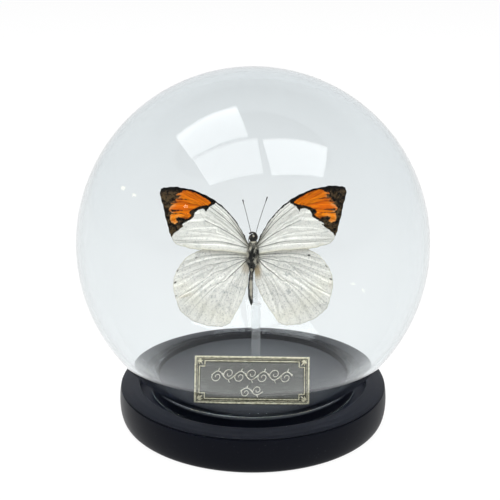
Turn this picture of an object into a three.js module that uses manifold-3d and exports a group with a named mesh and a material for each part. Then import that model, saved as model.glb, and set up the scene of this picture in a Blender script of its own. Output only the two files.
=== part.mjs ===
// A pinned butterfly in a glass globe that stands on a turned wooden base.
// Units are millimetres and +Z is up. The origin is the centre of the base's underside,
// and the butterfly's back faces -Y, the front of the object.
import * as THREE from 'three';
import { mergeVertices } from 'three/addons/utils/BufferGeometryUtils.js';
import Module from 'manifold-3d';

const wasm = await Module();
wasm.setup();

// ---- Driving dimensions ----
const CLEARANCE = 0.3;

const GLOBE_RADIUS = 75;
const GLASS_WALL = 2;
const GLOBE_CENTRE_Z = 78.2;
const NECK_RADIUS = 45.4;
const NECK_FOOT_Z = 12.3;

const BASE_HEIGHT = 16.6;
const BASE_FOOT_RADIUS = 57.5;
const BASE_BULGE_RADIUS = 59.3;
const BASE_RIM_RADIUS = 58.2;
const GROOVE_OUTER_RADIUS = 50.3;
const GROOVE_FLOOR_Z = 12;
const PLATFORM_RADIUS = 42.5;

const ROD_RADIUS = 2;
const ROD_X = 1.35;
const ROD_SOCKET_DEPTH = 6;
const ROD_STEP_Z = 50.8;
const ROD_TOP_Z = 75;
const TONGUE_RIGHT = 0.7;

const PLAQUE_WIDTH = 48.7;
const PLAQUE_HEIGHT = 20.2;
const PLAQUE_THICKNESS = 2;
const PLAQUE_LEAN = THREE.MathUtils.degToRad(27);
const PLAQUE_TURN = THREE.MathUtils.degToRad(-2);
const PLAQUE_X = -0.7;
const PLAQUE_Y = -29.6;
const BORDER_WIDTH = 2.8;
const BORDER_NOTCH = 1.4;
const RELIEF = 0.4;

const BUTTERFLY_X = -0.2;
const BUTTERFLY_WING_Y = -3.8;
const BUTTERFLY_Z = 75.6;
const BUTTERFLY_ROLL = THREE.MathUtils.degToRad(-1.2);
const BODY_BEHIND_WINGS = 1;
const WING_THICKNESS = 0.5;
const WING_PLANE_GAP = 0.4;
const WING_RAISE = THREE.MathUtils.degToRad(5);
const ANTENNA_RADIUS = 0.25;

// ---- Finishes ----
const finish = (color, roughness, metalness = 0) => (
  new THREE.MeshStandardMaterial({ color, roughness, metalness })
);
const BLACK_LACQUER = finish(0x17191d, 0.35);
const CLEAR_GLASS = finish(0xe6eceb, 0.03);
const CLEAR_ACRYLIC = finish(0xdde3e2, 0.08);
const SMOKED_ACRYLIC = finish(0x8a8b88, 0.2);
const OLD_GOLD = finish(0xa79f84, 0.35, 0.9);
const WORN_SILVER = finish(0xb9b9b4, 0.3, 0.9);
const WHITE_SCALES = finish(0xe4e5da, 0.85);
const BODY_FUR = finish(0x3b3632, 0.9);
const HORN_BLACK = finish(0x211c19, 0.6);

// ---- Helpers ----
const points2 = (pairs) => pairs.map(([x, y]) => new THREE.Vector2(x, y));

const named = (name, geometry, material) => {
  const mesh = new THREE.Mesh(geometry, material);
  mesh.name = name;
  return mesh;
};

// A profile of [radius, height] pairs is spun about +Z.
const turned = (profile, segments) => {
  const geometry = new THREE.LatheGeometry(points2(profile), segments);
  geometry.rotateX(Math.PI / 2);
  return geometry;
};

const toSolid = (geometry) => {
  const bare = geometry.clone();
  bare.deleteAttribute('normal');
  bare.deleteAttribute('uv');
  const merged = mergeVertices(bare, 1e-4);
  const index = merged.index.array;
  const triangles = [];
  for (let i = 0; i < index.length; i += 3) {
    const [a, b, c] = [index[i], index[i + 1], index[i + 2]];
    if (a !== b && b !== c && c !== a) triangles.push(a, b, c);
  }
  return new wasm.Manifold(new wasm.Mesh({
    numProp: 3,
    vertProperties: new Float32Array(merged.attributes.position.array),
    triVerts: new Uint32Array(triangles),
  }));
};

const fromSolid = (solid) => {
  const mesh = solid.getMesh();
  const geometry = new THREE.BufferGeometry();
  geometry.setAttribute('position', new THREE.BufferAttribute(mesh.vertProperties, 3));
  geometry.setIndex(new THREE.BufferAttribute(mesh.triVerts, 1));
  geometry.computeVertexNormals();
  return geometry;
};

// A straight post along +Z between two heights.
const post = (radius, bottom, top, segments) => {
  const geometry = new THREE.CylinderGeometry(radius, radius, top - bottom, segments);
  geometry.rotateX(Math.PI / 2);
  geometry.translate(0, 0, (top + bottom) / 2);
  return geometry;
};

// A round thread of constant thickness along a smooth curve through the given points.
const thread = (points, radius, steps, sides) => {
  const section = new THREE.Shape();
  section.absarc(0, 0, radius, 0, Math.PI * 2);
  return new THREE.ExtrudeGeometry(section, {
    steps,
    curveSegments: sides,
    bevelEnabled: false,
    extrudePath: new THREE.CatmullRomCurve3(points),
  });
};

// ---- Base: one turned piece with a groove for the globe and a socket for the rod ----
const buildBase = () => {
  const side = new THREE.CubicBezierCurve(
    new THREE.Vector2(BASE_FOOT_RADIUS, 0.6),
    new THREE.Vector2(BASE_BULGE_RADIUS + 0.1, 2.2),
    new THREE.Vector2(BASE_BULGE_RADIUS + 0.4, 9.5),
    new THREE.Vector2(BASE_RIM_RADIUS + 0.3, BASE_HEIGHT - 1),
  ).getPoints(8).map((point) => [point.x, point.y]);
  const profile = [
    [0, 0],
    [BASE_FOOT_RADIUS - 0.6, 0],
    ...side,
    [BASE_RIM_RADIUS - 0.3, BASE_HEIGHT - 0.4],
    [GROOVE_OUTER_RADIUS + 0.3, BASE_HEIGHT],
    [GROOVE_OUTER_RADIUS, BASE_HEIGHT - 0.3],
    [GROOVE_OUTER_RADIUS, GROOVE_FLOOR_Z],
    [PLATFORM_RADIUS, GROOVE_FLOOR_Z],
    [PLATFORM_RADIUS, BASE_HEIGHT - 0.3],
    [PLATFORM_RADIUS - 0.3, BASE_HEIGHT],
    [0, BASE_HEIGHT],
  ];
  const socket = post(ROD_RADIUS + CLEARANCE, BASE_HEIGHT - ROD_SOCKET_DEPTH, BASE_HEIGHT + 1, 16);
  socket.translate(ROD_X, 0, 0);
  const body = toSolid(turned(profile, 72)).subtract(toSolid(socket));
  return named('wooden_base', fromSolid(body), BLACK_LACQUER);
};

// ---- Globe: a blown sphere of even wall with a short open neck ----
const neckJoinZ = (radius, neck) => GLOBE_CENTRE_Z - Math.sqrt(radius ** 2 - neck ** 2);

// The meridian of a sphere from where a neck of the given radius meets it up to the pole,
// with one point on the equator so that the full diameter is kept.
const meridian = (radius, neck, stepsBelow, stepsAbove) => {
  const start = Math.acos((neckJoinZ(radius, neck) - GLOBE_CENTRE_Z) / radius);
  const equator = Math.PI / 2;
  const pairs = [];
  for (let i = 0; i <= stepsBelow + stepsAbove; i += 1) {
    const angle = i < stepsBelow
      ? start + (equator - start) * (i / stepsBelow)
      : equator * (1 - (i - stepsBelow) / stepsAbove);
    const r = i === stepsBelow + stepsAbove ? 0 : radius * Math.sin(angle);
    pairs.push([r, GLOBE_CENTRE_Z + radius * Math.cos(angle)]);
  }
  return pairs;
};

const buildGlobe = () => {
  const innerNeck = NECK_RADIUS - GLASS_WALL;
  const inner = meridian(GLOBE_RADIUS - GLASS_WALL, innerNeck, 5, 9);
  const outer = meridian(GLOBE_RADIUS, NECK_RADIUS, 5, 9);
  const foot = [[innerNeck, NECK_FOOT_Z], [NECK_RADIUS, NECK_FOOT_Z]];
  const profile = [...inner.reverse(), ...foot, ...outer];
  return named('glass_globe', turned(profile, 60), CLEAR_GLASS);
};

// ---- Rod: a clear round post whose top is cut back to a narrow tongue ----
const buildRod = () => {
  const cutHeight = ROD_TOP_Z - ROD_STEP_Z + 1;
  const frontCut = new THREE.BoxGeometry(4 * ROD_RADIUS, 2 * ROD_RADIUS, cutHeight);
  frontCut.translate(0, -ROD_RADIUS, ROD_STEP_Z + cutHeight / 2);
  const sideCut = new THREE.BoxGeometry(2 * ROD_RADIUS, 4 * ROD_RADIUS, cutHeight);
  sideCut.translate(TONGUE_RIGHT + ROD_RADIUS, 0, ROD_STEP_Z + cutHeight / 2);
  const foot = BASE_HEIGHT - ROD_SOCKET_DEPTH + CLEARANCE;
  const solid = toSolid(post(ROD_RADIUS, foot, ROD_TOP_Z, 24))
    .subtract(toSolid(frontCut))
    .subtract(toSolid(sideCut));
  const rod = named('display_rod', fromSolid(solid), CLEAR_ACRYLIC);
  rod.position.x = ROD_X;
  return rod;
};

// ---- Plaque: a leaning plate, cut level at the foot, with a raised border and two scrolls ----
const buildPlaquePlate = () => {
  const back = PLAQUE_THICKNESS / Math.cos(PLAQUE_LEAN);
  const rise = PLAQUE_HEIGHT * Math.cos(PLAQUE_LEAN);
  const run = PLAQUE_HEIGHT * Math.sin(PLAQUE_LEAN);
  const dropAcross = PLAQUE_THICKNESS * Math.sin(PLAQUE_LEAN);
  const runAcross = PLAQUE_THICKNESS * Math.cos(PLAQUE_LEAN);
  const section = new THREE.Shape(points2([
    [0, 0],
    [back, 0],
    [run + runAcross, rise - dropAcross],
    [run, rise],
  ]));
  const geometry = new THREE.ExtrudeGeometry(section, { depth: PLAQUE_WIDTH, bevelEnabled: false });
  geometry.translate(0, 0, -PLAQUE_WIDTH / 2);
  geometry.applyMatrix4(new THREE.Matrix4().makeBasis(
    new THREE.Vector3(0, 1, 0),
    new THREE.Vector3(0, 0, 1),
    new THREE.Vector3(1, 0, 0),
  ));
  return named('plaque_plate', geometry, SMOKED_ACRYLIC);
};

const buildPlaqueBorder = () => {
  const inset = 0.1;
  const halfWidth = PLAQUE_WIDTH / 2 - inset;
  const outline = new THREE.Shape(points2([
    [-halfWidth, inset],
    [halfWidth, inset],
    [halfWidth, PLAQUE_HEIGHT - inset],
    [-halfWidth, PLAQUE_HEIGHT - inset],
  ]));
  const x = PLAQUE_WIDTH / 2 - BORDER_WIDTH;
  const low = BORDER_WIDTH;
  const high = PLAQUE_HEIGHT - BORDER_WIDTH;
  outline.holes.push(new THREE.Path(points2([
    [-x + BORDER_NOTCH, low], [-x + BORDER_NOTCH, low + BORDER_NOTCH], [-x, low + BORDER_NOTCH],
    [-x, high - BORDER_NOTCH], [-x + BORDER_NOTCH, high - BORDER_NOTCH], [-x + BORDER_NOTCH, high],
    [x - BORDER_NOTCH, high], [x - BORDER_NOTCH, high - BORDER_NOTCH], [x, high - BORDER_NOTCH],
    [x, low + BORDER_NOTCH], [x - BORDER_NOTCH, low + BORDER_NOTCH], [x - BORDER_NOTCH, low],
  ])));
  const geometry = new THREE.ExtrudeGeometry(outline, { depth: RELIEF, bevelEnabled: false });
  geometry.translate(0, 0, CLEARANCE);
  return named('plaque_border', geometry, OLD_GOLD);
};

// A flowing line of raised metal: waves that die away towards both ends.
const buildScroll = (name, width, height, waves, centreHeight) => {
  const radius = RELIEF / 2;
  const count = waves * 8;
  const points = [];
  for (let i = 0; i <= count; i += 1) {
    const along = i / count;
    const swell = Math.sin(Math.PI * along) ** 0.5;
    points.push(new THREE.Vector3(
      width * (along - 0.5),
      centreHeight + (height / 2) * swell * Math.sin(2 * Math.PI * waves * along),
      CLEARANCE + radius,
    ));
  }
  return named(name, thread(points, radius, count * 2, 3), WORN_SILVER);
};

const buildPlaque = () => {
  const face = new THREE.Group();
  face.rotation.x = Math.PI / 2 - PLAQUE_LEAN;
  face.add(
    buildPlaqueBorder(),
    buildScroll('plaque_scroll_long', 34, 5, 4, 12.3),
    buildScroll('plaque_scroll_short', 9, 3, 2, 5.4),
  );
  const plaque = new THREE.Group();
  plaque.position.set(PLAQUE_X, PLAQUE_Y, BASE_HEIGHT + CLEARANCE);
  plaque.rotation.z = PLAQUE_TURN;
  plaque.add(buildPlaquePlate(), face);
  return plaque;
};

// ---- Butterfly: X is outwards along a wing, Z runs from the tail to the head ----
const FOREWING_ROOT = [2.8, 5];
const FOREWING_EDGE = [
  [5.5, 11.2], [9.6, 17], [14.4, 21.8], [20.4, 25.6], [26, 27.8], [32, 29], [36.8, 28.7],
  [38.9, 26.8], [38.3, 22.6], [37.2, 17.6], [36.2, 12.2], [35, 8], [33.8, 5.6],
  [31.5, 4], [25, 2.2], [18, 2.1], [10, 1.7], [2.8, 0.8],
];
const HINDWING_ROOT = [2.8, -0.6];
const HINDWING_EDGE = [
  [10, 1], [18, 1.9], [24, 1.2], [29, -2.2], [32.4, -7], [34, -12], [33.9, -16], [32.9, -21],
  [31.2, -25.6], [27.3, -29.4], [22.5, -32.1], [17, -33.4], [12.5, -33.2], [10, -31.2],
  [7.3, -26.5], [4.6, -20.5], [2.9, -14.6], [2.8, -8],
];
// The right wings are set a little wider than the left ones.
const WING_STRETCH = { left: 0.985, right: 1.015 };

const buildWing = (name, root, edge, side, behind) => {
  const sign = side === 'right' ? 1 : -1;
  const place = ([x, z]) => [sign * x * WING_STRETCH[side], z];
  const outline = new THREE.Shape();
  outline.moveTo(...place(root));
  outline.splineThru(points2(edge.map(place)));
  const geometry = new THREE.ExtrudeGeometry(outline, {
    depth: WING_THICKNESS,
    curveSegments: 2,
    bevelEnabled: false,
  });
  geometry.rotateX(Math.PI / 2);
  geometry.translate(0, behind, 0);
  geometry.rotateZ(-sign * WING_RAISE);
  return named(`${name}_${side}`, geometry, WHITE_SCALES);
};

// Radius against height: a slim tail, a full chest, a narrow neck and a round head.
const BODY_PROFILE = [
  [0, -23.9], [0.6, -23.3], [1.05, -21.5], [1.25, -17], [1.3, -13], [1.35, -10.5], [1.9, -8],
  [2.35, -5], [2.45, -1.5], [2.1, 2], [1.3, 4], [1.15, 4.5], [1.75, 5.6], [1.6, 7.1], [0, 8],
];
// The tail bends to the left below the chest.
const tailBend = (height) => -0.3 - 1.6 * Math.max(0, (-5 - height) / 18.8) ** 1.5;

const buildBody = () => {
  const geometry = turned(BODY_PROFILE, 18);
  const position = geometry.attributes.position;
  for (let i = 0; i < position.count; i += 1) {
    position.setX(i, position.getX(i) + tailBend(position.getZ(i)));
  }
  geometry.translate(0, BODY_BEHIND_WINGS, 0);
  geometry.computeVertexNormals();
  return named('butterfly_body', geometry, BODY_FUR);
};

const buildAntenna = (side, start, middle, tip) => {
  const points = [start, middle, tip].map((point) => new THREE.Vector3(...point));
  return named(`antenna_${side}`, thread(points, ANTENNA_RADIUS, 8, 3), HORN_BLACK);
};

const buildButterfly = () => {
  const butterfly = new THREE.Group();
  butterfly.position.set(BUTTERFLY_X, BUTTERFLY_WING_Y, BUTTERFLY_Z);
  butterfly.rotation.y = BUTTERFLY_ROLL;
  const forewingBehind = -WING_PLANE_GAP / 2;
  const hindwingBehind = WING_THICKNESS + WING_PLANE_GAP / 2;
  for (const side of ['left', 'right']) {
    butterfly.add(buildWing('forewing', FOREWING_ROOT, FOREWING_EDGE, side, forewingBehind));
    butterfly.add(buildWing('hindwing', HINDWING_ROOT, HINDWING_EDGE, side, hindwingBehind));
  }
  butterfly.add(
    buildBody(),
    buildAntenna('left', [-0.9, 0.4, 8.4], [-2, -0.4, 15.5], [-3.5, -0.8, 23.2]),
    buildAntenna('right', [0.5, 0.4, 8.4], [3.3, -0.4, 15.5], [6.6, -0.8, 24]),
  );
  return butterfly;
};

// ---- Assembly ----
const domeDisplay = new THREE.Group();
domeDisplay.add(buildBase(), buildGlobe(), buildRod(), buildPlaque(), buildButterfly());

export default domeDisplay;
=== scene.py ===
# A dried butterfly in a glass globe on a turned black base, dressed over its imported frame.
# Blender units are metres and +Z is up; shapes are written in millimetres and scaled by MM.
# The butterfly's back and the plaque face -Y, where the camera stands.
import math

import bmesh
import bpy
import numpy as np
from mathutils import Matrix


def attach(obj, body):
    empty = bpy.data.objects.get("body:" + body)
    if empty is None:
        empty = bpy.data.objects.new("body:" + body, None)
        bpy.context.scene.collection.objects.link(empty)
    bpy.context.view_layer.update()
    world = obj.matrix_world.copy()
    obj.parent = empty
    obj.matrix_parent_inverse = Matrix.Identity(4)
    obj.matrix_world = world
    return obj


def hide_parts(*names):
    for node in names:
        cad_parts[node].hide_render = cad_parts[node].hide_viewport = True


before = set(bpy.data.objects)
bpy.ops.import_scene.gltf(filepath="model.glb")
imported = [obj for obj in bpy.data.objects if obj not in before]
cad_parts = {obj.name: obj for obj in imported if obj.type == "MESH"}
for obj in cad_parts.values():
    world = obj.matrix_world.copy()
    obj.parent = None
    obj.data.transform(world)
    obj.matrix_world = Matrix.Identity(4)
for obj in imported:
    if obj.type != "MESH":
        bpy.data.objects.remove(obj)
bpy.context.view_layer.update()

scene = bpy.context.scene
MM = 0.001


def moved(x, y, z):
    return Matrix.Translation((x, y, z))


def turned_by(degrees, axis):
    return Matrix.Rotation(math.radians(degrees), 4, axis)


# ---- Sizes shared by several pieces, in millimetres ----
GLOBE_RADIUS = 75.0
GLASS_WALL = 2.0
GLOBE_CENTRE_Z = 78.2
NECK_RADIUS = 45.4
NECK_WALL = 2.65
NECK_FOOT_Z = 12.3
BASE_HEIGHT = 16.6
GROOVE_OUTER_RADIUS = 50.3
GROOVE_FLOOR_Z = 12.0
PLATFORM_RADIUS = 42.5
ROD_RADIUS = 2.0
ROD_X = 1.35
SOCKET_RADIUS = 2.3
SOCKET_FLOOR_Z = 10.6
ROD_FOOT_Z = 10.9
ROD_STEP_Z = 50.8
ROD_TOP_Z = 75.0
TONGUE_RIGHT = 0.7
PLAQUE_WIDTH = 48.7
PLAQUE_HEIGHT = 20.2
PLAQUE_THICKNESS = 2.0
PLAQUE_LEAN = 27
PLAQUE_PLACE = moved(-0.7, -29.6, BASE_HEIGHT) @ turned_by(-2, "Z")
PLAQUE_FACE = PLAQUE_PLACE @ turned_by(90 - PLAQUE_LEAN, "X")
BUTTERFLY_PLACE = moved(-0.2, -3.8, 75.6) @ turned_by(-1.2, "Y")
BODY_BEHIND_WINGS = 1.0


# ---- Node helpers ----
class Graph:
    """Adds nodes to a shader or geometry tree and joins them."""

    def __init__(self, tree):
        self.tree = tree

    def add(self, kind, inputs=None, **settings):
        node = self.tree.nodes.new(kind)
        for key, value in settings.items():
            setattr(node, key, value)
        for key, value in (inputs or {}).items():
            self.feed(node.inputs[key], value)
        return node

    def out(self, kind, inputs=None, **settings):
        """The first output of a new node."""
        return self.add(kind, inputs, **settings).outputs[0]

    def feed(self, socket, value):
        """Links a socket to another one or sets its value; a colour may leave out its alpha."""
        if isinstance(value, bpy.types.NodeSocket):
            self.tree.links.new(value, socket)
        elif socket.type == "RGBA" and len(value) == 3:
            socket.default_value = (*value, 1)
        else:
            socket.default_value = value

    def math(self, operation, a, b=0.0):
        return self.out("ShaderNodeMath", {0: a, 1: b}, operation=operation)

    def times(self, a, b):
        return self.math("MULTIPLY", a, b)

    def plus(self, a, b):
        return self.math("ADD", a, b)

    def minus(self, a, b):
        return self.math("SUBTRACT", a, b)

    def ramp(self, value, start, end, low=0.0, high=1.0):
        """Maps a value smoothly from start..end to low..high, and holds it outside."""
        inputs = {"Value": value, "From Min": start, "From Max": end, "To Min": low, "To Max": high}
        return self.out("ShaderNodeMapRange", inputs, interpolation_type="SMOOTHSTEP")

    def mix(self, share, first, second):
        return self.add("ShaderNodeMix", {0: share, 6: first, 7: second}, data_type="RGBA").outputs[2]

    def layers(self, colour, *coats):
        """Lays coats over a colour one after another, each as (share, colour)."""
        for share, coat in coats:
            colour = self.mix(share, colour, coat)
        return colour

    def noise(self, vector, scale, detail=3.0, roughness=0.55):
        inputs = {"Vector": vector, "Scale": scale, "Detail": detail, "Roughness": roughness}
        return self.out("ShaderNodeTexNoise", inputs)

    def stretched(self, vector, scale):
        return self.out("ShaderNodeMapping", {"Vector": vector, "Scale": scale})

    def place(self):
        return self.add("ShaderNodeTexCoord").outputs["Object"]

    def split(self, vector):
        return self.add("ShaderNodeSeparateXYZ", {0: vector}).outputs

    def reading(self, name, kind="Fac"):
        return self.add("ShaderNodeAttribute", attribute_name=name).outputs[kind]

    def bump(self, height, strength, distance):
        return self.out("ShaderNodeBump", {"Height": height, "Strength": strength, "Distance": distance})


def new_material(name, constants, recipe=None):
    """A Principled material; recipe(graph) returns what its patterned sockets are fed with."""
    material = bpy.data.materials.new(name)
    material.use_nodes = True
    graph = Graph(material.node_tree)
    shader = material.node_tree.nodes["Principled BSDF"]
    for key, value in {**constants, **(recipe(graph) if recipe else {})}.items():
        graph.feed(shader.inputs[key], value)
    return material


# ---- Finishes: each recipe returns what its material's patterned sockets are fed with ----
def black_lacquer(g):
    place = g.place()
    grain = g.noise(g.stretched(place, (40, 260, 260)), 3.0, 5.0)
    cloud = g.noise(place, 22.0, 4.0)
    dust = g.ramp(g.noise(place, 1400.0, 2.0), 0.68, 0.76)
    colour = g.mix(cloud, (0.0015, 0.0022, 0.0055), (0.004, 0.005, 0.009))
    # The dust specks are real; the rest of this lightening is painted light, greying the top of the ring and
    # the platform as light from above would.
    bloom = g.plus(g.times(dust, 0.12), g.times(g.reading("shelf"), 0.52))
    return {
        "Base Color": g.mix(bloom, colour, (0.16, 0.17, 0.18)),
        "Roughness": g.ramp(cloud, 0.3, 0.7, 0.34, 0.44),
        "Normal": g.bump(grain, 0.10, 0.0002),
    }


def clear_glass(g):
    # Painted shade: the glass is tinted greyer over the crown, which darkens the top of the globe.
    painted_crown_shade = g.ramp(g.split(g.place())["Z"], 0.055, 0.125)
    depth = g.out("ShaderNodeVolumeAbsorption", {"Color": (0.86, 0.89, 0.90), "Density": 345.0})
    g.feed(g.tree.nodes["Material Output"].inputs["Volume"], depth)
    return {"Base Color": g.mix(painted_crown_shade, (0.998, 0.999, 0.998), (0.940, 0.946, 0.949))}


def frosted_acrylic(g):
    return {"Roughness": g.ramp(g.noise(g.place(), 2500.0, 3.0), 0.3, 0.7, 0.45, 0.65)}


def smoked_acrylic(g):
    place = g.place()
    haze = g.noise(place, 120.0, 4.0)
    brushed = g.noise(g.stretched(place, (120, 5000, 5000)), 1.0, 2.0)
    return {
        "Base Color": g.mix(haze, (0.085, 0.086, 0.079), (0.132, 0.132, 0.121)),
        "Roughness": g.ramp(brushed, 0.2, 0.8, 0.16, 0.3),
        "Normal": g.bump(brushed, 0.05, 0.00005),
    }


def old_metal(g, bright, dull, roughness):
    place = g.place()
    tarnish = g.ramp(g.noise(place, 900.0, 5.0), 0.42, 0.66)
    return {
        "Base Color": g.mix(tarnish, bright, dull),
        "Roughness": g.ramp(tarnish, 0.0, 1.0, roughness, roughness + 0.25),
        "Normal": g.bump(g.noise(place, 6000.0, 2.0), 0.15, 0.00005),
    }


def old_gold(g):
    return old_metal(g, (0.62, 0.58, 0.43), (0.32, 0.295, 0.20), 0.34)


def worn_silver(g):
    return old_metal(g, (0.64, 0.62, 0.54), (0.38, 0.36, 0.30), 0.32)


def dark_patina(g):
    mottle = g.noise(g.place(), 1500.0, 4.0)
    return {
        "Base Color": g.mix(mottle, (0.018, 0.017, 0.011), (0.06, 0.057, 0.036)),
        "Normal": g.bump(mottle, 0.3, 0.00005),
    }


def wing_scales(g, mottle_strength, speck_strength):
    """The scaled upper side: off-white, with a black and orange tip where the wing has one."""
    place = g.place()
    ray = g.reading("ray", "Vector")
    wander = g.mix(0.06, ray, g.add("ShaderNodeTexNoise", {"Vector": place, "Scale": 260.0}).outputs[1])
    streaks = g.noise(g.stretched(wander, (2.6, 0.07, 1)), 1.0, 5.0, 0.65)
    fine = g.noise(g.stretched(wander, (7.0, 0.16, 1)), 1.0, 4.0, 0.7)
    blotches = g.noise(place, 330.0, 5.0, 0.7)
    grain = g.noise(place, 1500.0, 3.0, 0.7)
    scales = g.noise(place, 2600.0, 2.0)
    ragged = g.times(g.minus(g.noise(place, 1300.0, 3.0), 0.5), 1.1)
    vein = g.reading("vein")
    rim_gap = g.reading("rim_gap")
    rubbed = g.times(g.ramp(blotches, 0.52, 0.66), g.reading("worn"))
    # White field, streaked along the veins and greyed where the scales have rubbed off.
    field = g.layers(
        (0.97, 0.95, 0.88),
        (g.ramp(streaks, 0.48, 0.74), (0.79, 0.78, 0.725)),
        (g.times(g.ramp(fine, 0.55, 0.68, 0.0, 0.7), g.reading("lined")), (0.46, 0.46, 0.41)),
        (g.ramp(grain, 0.50, 0.66, 0.0, speck_strength), (0.44, 0.43, 0.42)),
        (g.times(rubbed, mottle_strength), (0.40, 0.42, 0.40)),
        (g.ramp(rim_gap, 0.7, 0.2, 0.0, 0.3), (0.84, 0.80, 0.64)),
        (g.ramp(rim_gap, 0.30, 0.08, 0.0, 0.5), (0.36, 0.33, 0.25)),
        (g.reading("cream"), (0.80, 0.75, 0.52)),
        (g.ramp(vein, 0.0, 0.9), (0.075, 0.075, 0.06)),
        (g.reading("dusting"), (0.17, 0.16, 0.125)),
        (g.reading("stain"), (0.38, 0.27, 0.12)),
    )
    # The dark tip has a brown bloom, and the orange blaze inside it darkens along its veins.
    bloom = g.times(g.ramp(g.noise(place, 700.0, 5.0, 0.75), 0.42, 0.60), g.reading("brown"))
    dark = g.mix(bloom, (0.0015, 0.0013, 0.001), (0.105, 0.066, 0.030))
    blaze = g.layers(
        (1.0, 0.29, 0.004),
        (g.ramp(streaks, 0.40, 0.60), (0.78, 0.14, 0.002)),
        (g.ramp(g.reading("blaze_depth"), 0.0, 1.0, 0.0, 0.55), (0.66, 0.11, 0.002)),
        (g.ramp(fine, 0.50, 0.64, 0.0, 0.8), (0.30, 0.045, 0.003)),
        (g.ramp(vein, 0.05, 0.8, 0.0, 0.85), (0.09, 0.022, 0.004)),
        (g.times(g.reading("buff"), g.ramp(fine, 0.42, 0.58, 0.9, 0.1)), (0.80, 0.42, 0.15)),
    )
    field = g.layers(
        field,
        (g.ramp(g.plus(g.reading("black_edge"), ragged), -0.16, 0.16), dark),
        (g.ramp(g.plus(g.reading("orange_edge"), g.times(ragged, 0.8)), -0.10, 0.26), blaze),
        (g.reading("mark"), (0.010, 0.009, 0.006)),
    )
    relief = g.plus(g.plus(g.times(scales, 0.3), g.times(fine, 0.8)), g.times(blotches, 1.6))
    return {"Base Color": field, "Normal": g.bump(relief, 0.7, 0.0001)}


def forewing_scales(g):
    return wing_scales(g, mottle_strength=0.30, speck_strength=0.35)


def hindwing_scales(g):
    return wing_scales(g, mottle_strength=0.76, speck_strength=0.66)


def wing_underside(g):
    """The dead-leaf underside: sandy brown with darker flecks, paler towards the body."""
    flecks = g.ramp(g.noise(g.place(), 1100.0, 3.0), 0.56, 0.68)
    cloud = g.noise(g.stretched(g.reading("ray", "Vector"), (1.6, 0.12, 1)), 1.0, 5.0)
    field = g.layers(
        (0.66, 0.60, 0.46),
        (g.ramp(cloud, 0.3, 0.7), (0.42, 0.35, 0.23)),
        (g.times(flecks, 0.55), (0.16, 0.12, 0.075)),
        (g.ramp(g.reading("vein"), 0.0, 0.9, 0.0, 0.8), (0.15, 0.11, 0.06)),
    )
    return {"Base Color": field, "Normal": g.bump(flecks, 0.2, 0.00004)}


def body_skin(g):
    mottle = g.noise(g.stretched(g.place(), (1600, 1600, 700)), 1.0, 4.0)
    tone = g.plus(g.reading("tone"), g.times(g.minus(mottle, 0.5), 0.5))
    dark = g.mix(mottle, (0.004, 0.005, 0.006), (0.030, 0.028, 0.026))
    pale = g.mix(mottle, (0.30, 0.27, 0.20), (0.62, 0.57, 0.47))
    return {"Base Color": g.mix(g.ramp(tone, 0.30, 0.80), dark, pale), "Normal": g.bump(mottle, 0.6, 0.0002)}


def body_hair(g):
    strands = g.noise(g.stretched(g.place(), (3600, 3600, 500)), 1.0, 3.0)
    reading = g.reading("tone")
    swing = g.times(g.minus(strands, 0.5), g.plus(reading, 0.12))
    tone = g.plus(reading, g.times(swing, 3.6))
    return {"Base Color": g.layers(
        (0.003, 0.003, 0.003),
        (g.ramp(tone, 0.10, 0.50), (0.15, 0.15, 0.125)),
        (g.ramp(tone, 0.40, 0.9), (0.66, 0.63, 0.54)),
    )}


def compound_eye(g):
    facets = g.out("ShaderNodeTexVoronoi", {"Vector": g.place(), "Scale": 9000.0})
    return {"Base Color": g.mix(facets, (0.12, 0.05, 0.028), (0.02, 0.010, 0.007)),
            "Normal": g.bump(facets, 0.4, 0.00003)}


def horn_black(g):
    rings = g.noise(g.stretched(g.place(), (400, 400, 5200)), 1.0, 2.0)
    return {"Base Color": g.mix(rings, (0.012, 0.010, 0.009), (0.055, 0.045, 0.038)),
            "Normal": g.bump(rings, 0.3, 0.00004)}


FINISH = {name: new_material(name, constants, recipe) for name, recipe, constants in (
    ("black_lacquer", black_lacquer, {"Specular IOR Level": 0.075}),
    ("clear_glass", clear_glass, {
        "Roughness": 0.0, "IOR": 1.5, "Specular Tint": (0.32, 0.32, 0.32), "Transmission Weight": 1.0,
    }),
    ("clear_acrylic", None, {
        "Base Color": (0.95, 0.97, 0.98), "Roughness": 0.02, "IOR": 1.49, "Transmission Weight": 0.87,
    }),
    ("frosted_acrylic", frosted_acrylic, {
        "Base Color": (0.97, 0.98, 0.985), "IOR": 1.49, "Transmission Weight": 0.35,
    }),
    ("smoked_acrylic", smoked_acrylic, {"IOR": 1.49, "Transmission Weight": 0.22}),
    ("old_gold", old_gold, {"Metallic": 0.55}),
    ("worn_silver", worn_silver, {"Metallic": 0.55}),
    ("dark_patina", dark_patina, {"Metallic": 0.6, "Roughness": 0.5}),
    ("forewing_scales", forewing_scales, {"Roughness": 0.75, "Specular IOR Level": 0.05}),
    ("hindwing_scales", hindwing_scales, {"Roughness": 0.75, "Specular IOR Level": 0.05}),
    ("wing_underside", wing_underside, {"Roughness": 0.85, "Specular IOR Level": 0.2}),
    ("body_skin", body_skin, {"Roughness": 0.5, "Specular IOR Level": 0.12}),
    ("body_hair", body_hair, {"Roughness": 0.6, "Specular IOR Level": 0.12}),
    ("compound_eye", compound_eye, {"Roughness": 0.25, "Specular IOR Level": 0.3, "Coat Weight": 0.1}),
    ("horn_black", horn_black, {"Roughness": 0.5, "Specular IOR Level": 0.15}),
    ("pale_floor", None, {
        "Base Color": (0.08, 0.08, 0.08), "Roughness": 0.9, "Specular IOR Level": 0.0,
        "Emission Color": (1, 1, 1), "Emission Strength": 0.93,
    }),
)}


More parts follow.
